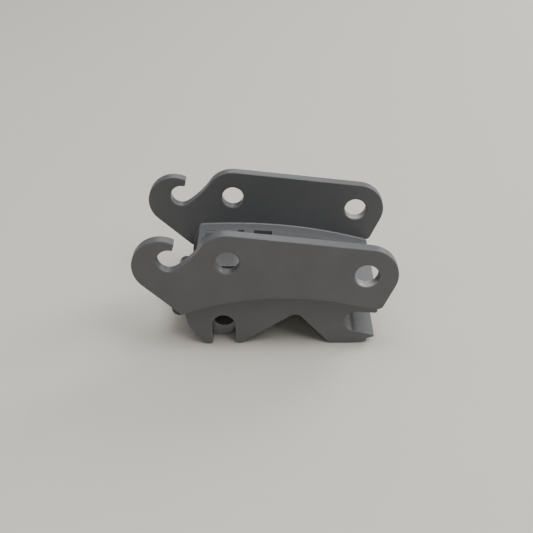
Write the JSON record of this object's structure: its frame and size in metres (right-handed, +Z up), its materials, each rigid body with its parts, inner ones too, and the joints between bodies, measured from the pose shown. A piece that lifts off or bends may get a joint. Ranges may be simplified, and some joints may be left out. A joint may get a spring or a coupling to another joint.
{
  "type": "quick coupler",
  "caption": "Quick coupler with hooked and bored side plates, a fixed front jaw and a spring-loaded sliding lock that closes the rear pin seat.",
  "frame": {"origin": "centre of the bounding box on the ground plane that the jaw foot and the rear leg stand on", "axes": "+X towards the front jaw, +Y across the coupler to its right side plate, +Z up"},
  "size_m": [0.0666, 0.04, 0.034],
  "materials": {
    "plate_grey": "satin dark grey coat",
    "body_grey": "satin dark grey coat",
    "lock_grey": "satin dark grey coat, worn on the sliding faces",
    "steel": "turned",
    "spring_steel": "drawn wire",
    "screw_black": "black oxide"
  },
  "bodies": {
    "frame": {"side_plate_left": "plate_grey", "side_plate_right": "plate_grey", "cheek_left": "body_grey", "cheek_right": "body_grey", "deck_plate": "body_grey", "front_jaw": "body_grey", "rear_cross_bar": "body_grey", "spring_wall": "body_grey", "lower_tie_bar": "body_grey", "lock_cover": "body_grey", "guide_rod_left": "steel", "guide_rod_right": "steel", "spring_washer_left": "steel", "spring_washer_right": "steel", "rod_nut_left": "steel", "rod_nut_right": "steel", "lock_spring_left": "spring_steel", "lock_spring_right": "spring_steel", "cover_screw_left": "screw_black", "cover_screw_right": "screw_black"},
    "lock": {"lock_slide": "lock_grey", "release_bar": "lock_grey"}
  },
  "joints": [
    {"name": "lock_release", "type": "slide", "parent": "frame", "child": "lock", "axis": [-1, 0, 0], "range_m": [0, 0.0058], "stiffness_N_per_m": 600, "springref_m": -0.004, "deforming": ["lock_spring_left", "lock_spring_right"]}
  ]
}
